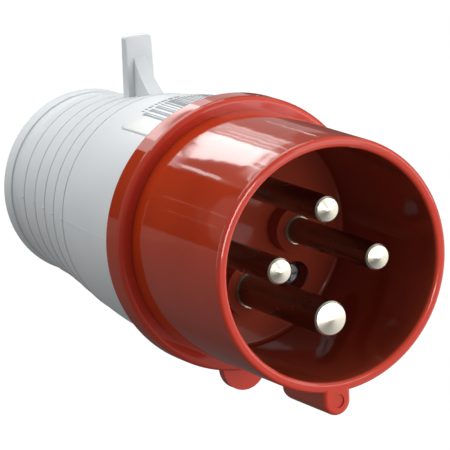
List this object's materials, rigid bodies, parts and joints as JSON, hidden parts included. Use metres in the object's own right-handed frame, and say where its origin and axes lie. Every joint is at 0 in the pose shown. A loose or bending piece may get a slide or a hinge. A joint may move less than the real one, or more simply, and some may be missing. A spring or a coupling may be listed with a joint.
{
  "type": "industrial pin and sleeve plug",
  "caption": "Round industrial power plug: red keyed shroud with line pins and a thicker earth pin, flanged collar with a retaining lug, and a ribbed grey rear housing with a finger tab.",
  "frame": {"origin": "centre of the rear end face, in the mouth of the cable seal", "axes": "+Z along the plug towards its mating end, +Y towards the finger tab, -Y towards the key and the retaining lug"},
  "size_m": [0.0636, 0.0769, 0.1235],
  "materials": {
    "red_moulding": "glossy moulded polyamide",
    "grey_moulding": "satin moulded polyamide",
    "black_moulding": "moulded polyamide",
    "plated_brass": "turned and nickel plated",
    "zinc_steel": "bright zinc plated",
    "sealing_rubber": "matte"
  },
  "bodies": {
    "root": {"front_shroud": "red_moulding", "rear_housing": "grey_moulding", "line_pin_1": "plated_brass", "line_pin_2": "plated_brass", "line_pin_3": "plated_brass", "earth_pin": "plated_brass", "contact_plate": "black_moulding", "plate_screw_1": "zinc_steel", "plate_screw_2": "zinc_steel", "housing_screw_1": "zinc_steel", "housing_screw_2": "zinc_steel", "terminal_screw_1_front": "zinc_steel", "terminal_screw_1_rear": "zinc_steel", "terminal_screw_2_front": "zinc_steel", "terminal_screw_2_rear": "zinc_steel", "terminal_screw_3_front": "zinc_steel", "terminal_screw_3_rear": "zinc_steel", "terminal_screw_earth_front": "zinc_steel", "terminal_screw_earth_rear": "zinc_steel", "sealing_ring": "sealing_rubber", "cable_seal": "sealing_rubber", "gland_plate": "black_moulding", "gland_screw_1": "zinc_steel", "gland_screw_2": "zinc_steel", "gland_screw_3": "zinc_steel", "clamp_bridge": "black_moulding", "clamp_screw_1": "zinc_steel", "clamp_screw_2": "zinc_steel"}
  },
  "joints": []
}
